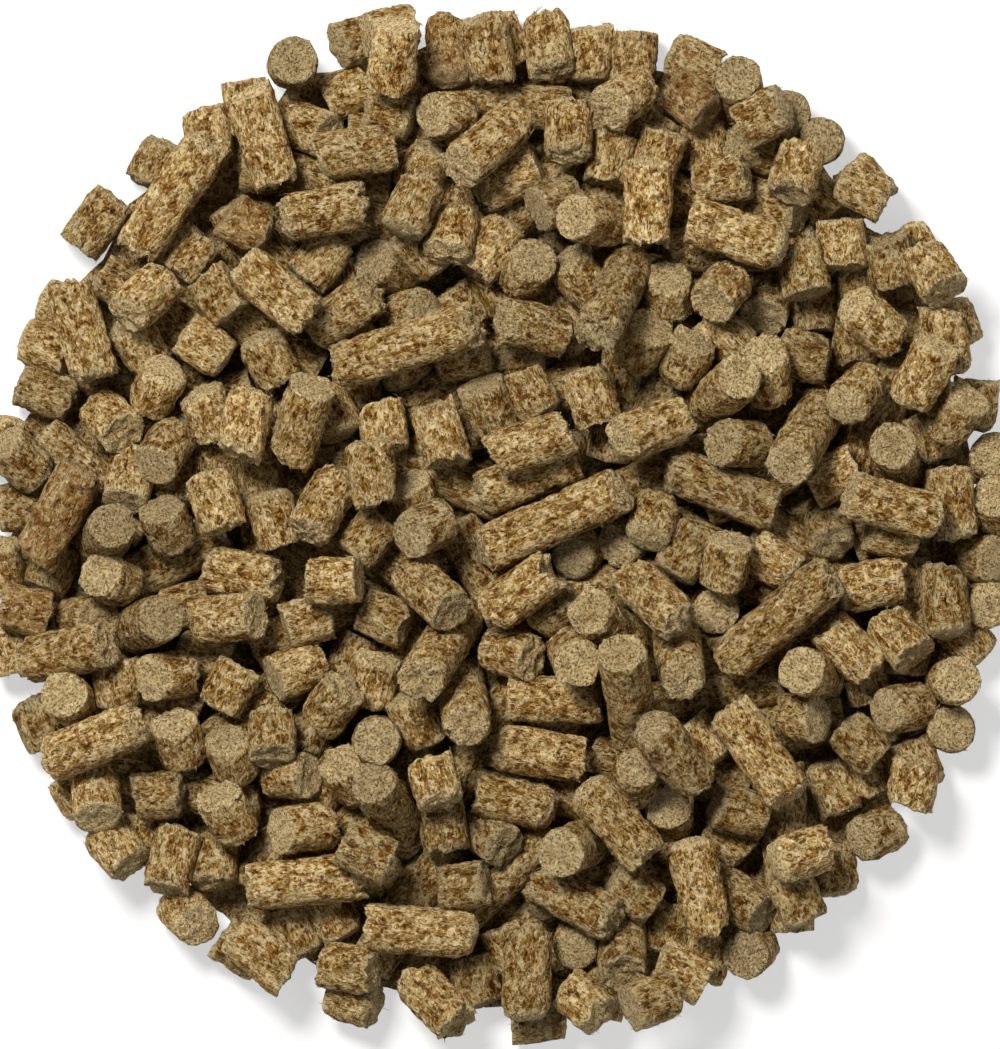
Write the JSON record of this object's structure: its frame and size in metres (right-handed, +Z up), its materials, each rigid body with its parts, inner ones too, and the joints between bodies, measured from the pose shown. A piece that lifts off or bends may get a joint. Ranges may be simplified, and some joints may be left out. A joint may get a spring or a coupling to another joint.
{
  "type": "heap of litter pellets",
  "caption": "Round, shallow heap of pressed plant-fibre litter pellets: loose short rods on a fused bed with a flat underside.",
  "frame": {"origin": "middle of the heap on the plane it stands on", "axes": "+Z up, -Y towards the lower edge of the picture, +X towards its right edge"},
  "size_m": [0.127, 0.1263, 0.0257],
  "materials": {
    "pressed_fibre": "matt, fibrous",
    "pressed_fibre_bed": "matt, fibrous, in shade"
  },
  "bodies": {
    "root": {"pellet_01": "pressed_fibre", "pellet_02": "pressed_fibre", "pellet_03": "pressed_fibre", "pellet_04": "pressed_fibre", "pellet_05": "pressed_fibre", "pellet_06": "pressed_fibre", "pellet_07": "pressed_fibre", "pellet_08": "pressed_fibre", "pellet_09": "pressed_fibre", "pellet_10": "pressed_fibre", "pellet_11": "pressed_fibre", "pellet_12": "pressed_fibre", "pellet_13": "pressed_fibre", "pellet_14": "pressed_fibre", "pellet_15": "pressed_fibre", "pellet_16": "pressed_fibre", "pellet_17": "pressed_fibre", "pellet_18": "pressed_fibre", "pellet_19": "pressed_fibre", "pellet_20": "pressed_fibre", "pellet_21": "pressed_fibre", "pellet_22": "pressed_fibre", "pellet_23": "pressed_fibre", "pellet_24": "pressed_fibre", "pellet_25": "pressed_fibre", "pellet_26": "pressed_fibre", "pellet_27": "pressed_fibre", "pellet_28": "pressed_fibre", "pellet_29": "pressed_fibre", "pellet_30": "pressed_fibre", "pellet_31": "pressed_fibre", "pellet_32": "pressed_fibre", "pellet_33": "pressed_fibre", "pellet_34": "pressed_fibre", "pellet_35": "pressed_fibre", "pellet_36": "pressed_fibre", "pellet_37": "pressed_fibre", "pellet_38": "pressed_fibre", "pellet_39": "pressed_fibre", "pellet_40": "pressed_fibre", "pellet_41": "pressed_fibre", "pellet_42": "pressed_fibre", "pellet_43": "pressed_fibre", "pellet_44": "pressed_fibre", "pellet_45": "pressed_fibre", "pellet_46": "pressed_fibre", "pellet_47": "pressed_fibre", "pellet_48": "pressed_fibre", "pellet_49": "pressed_fibre", "pellet_50": "pressed_fibre", "pellet_51": "pressed_fibre", "pellet_52": "pressed_fibre", "pellet_53": "pressed_fibre", "pellet_54": "pressed_fibre", "pellet_55": "pressed_fibre", "pellet_56": "pressed_fibre", "pellet_57": "pressed_fibre", "pellet_58": "pressed_fibre", "pellet_59": "pressed_fibre", "litter_bed": "pressed_fibre_bed"}
  },
  "joints": []
}
